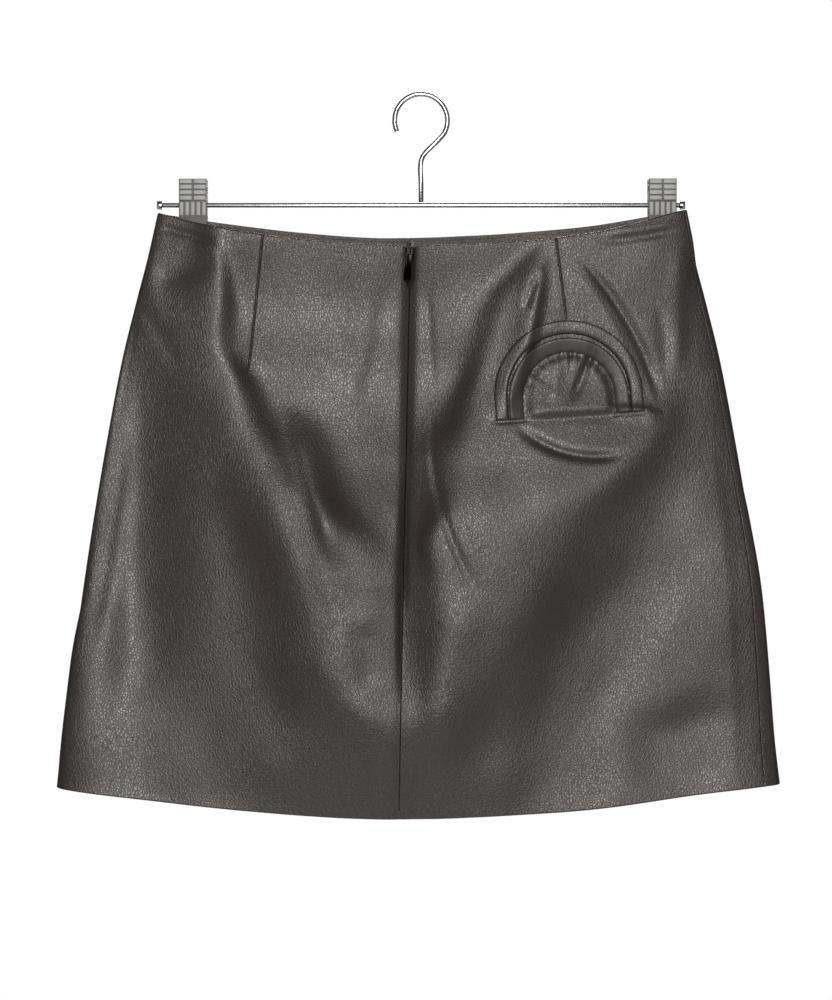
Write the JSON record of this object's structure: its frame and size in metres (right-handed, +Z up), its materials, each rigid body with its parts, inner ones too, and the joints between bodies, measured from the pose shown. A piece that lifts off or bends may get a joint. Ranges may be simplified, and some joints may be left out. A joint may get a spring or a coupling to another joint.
{
  "type": "mini skirt on a clip hanger",
  "caption": "Short A-line leather skirt with a back zip, waist darts and an arched trim on one hip, hung by its waist from a clip hanger.",
  "frame": {"origin": "underside of the hook's bend, where a rail carries the hanger", "axes": "+Z up; -Y is the skirt's back with the zip; +X to the right of someone who looks at the back"},
  "size_m": [0.5123, 0.074, 0.518],
  "materials": {
    "leather": "semi-gloss, fine grain",
    "facing_leather": "satin",
    "tape": "woven",
    "black_nickel": "polished, dark",
    "steel": "polished",
    "clip": "metallised, clear over grey"
  },
  "bodies": {
    "skirt": {"back_left": "leather", "back_right": "leather", "front": "leather", "front_facing": "facing_leather", "arch_band_outer": "leather", "arch_band_inner": "leather", "zip_tape": "tape", "zip_slider": "black_nickel", "hanger_bar": "steel", "hanger_hook": "steel", "clip_left_inner": "clip", "clip_left_outer": "clip", "clip_right_inner": "clip", "clip_right_outer": "clip"},
    "pull_tab": {"zip_pull": "black_nickel"}
  },
  "joints": [
    {"name": "pull_tab_hinge", "type": "hinge", "parent": "skirt", "child": "pull_tab", "pos_m": [-0.00771, -0.01527, -0.11], "axis": [-1, 0, 0], "range_deg": [0, 150]}
  ]
}
